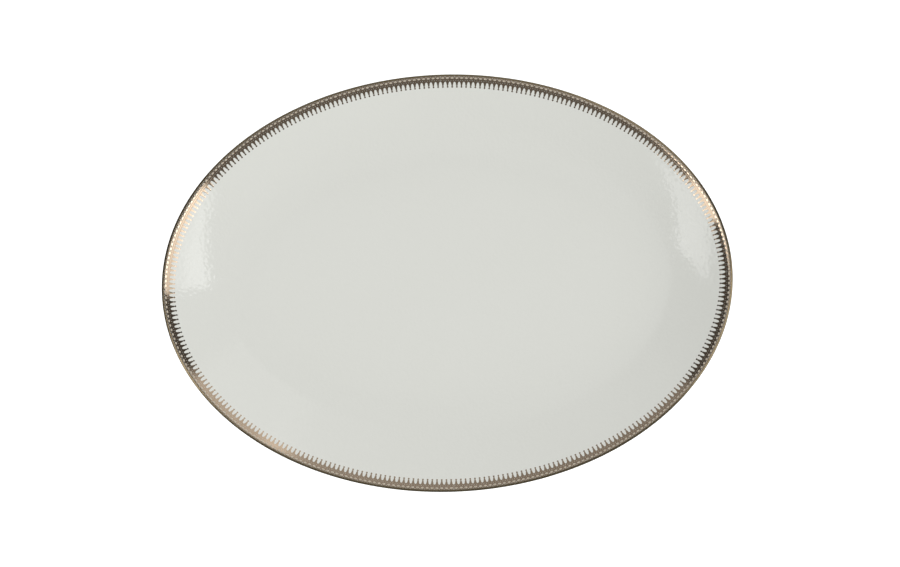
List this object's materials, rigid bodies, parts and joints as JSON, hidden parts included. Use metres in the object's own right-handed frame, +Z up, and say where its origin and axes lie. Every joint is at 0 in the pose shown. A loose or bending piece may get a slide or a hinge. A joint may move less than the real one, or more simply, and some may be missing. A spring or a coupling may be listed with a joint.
{
  "type": "serving platter",
  "caption": "Oval coupe serving platter in glazed porcelain on a foot ring, with a gilt line round the lip and a printed gold border of rope and beaded teeth.",
  "frame": {"origin": "on the table, under the middle of the platter", "axes": "+X along the platter's length, +Y across it, +Z up out of the well"},
  "size_m": [0.362, 0.266, 0.0306],
  "materials": {
    "bare_porcelain": "unglazed, fine and matt, ground smooth on the foot ring",
    "white_glaze": "clear gloss glaze over cool white porcelain",
    "burnished_gold": "burnished gold, polished, with a warm pink-brown cast"
  },
  "bodies": {
    "root": {"porcelain_body": "bare_porcelain", "face_glaze": "white_glaze", "recess_glaze": "white_glaze", "gilt_edge_line": "burnished_gold", "border_back_right": "burnished_gold", "border_front_right": "burnished_gold", "border_back_left": "burnished_gold", "border_front_left": "burnished_gold"}
  },
  "joints": []
}
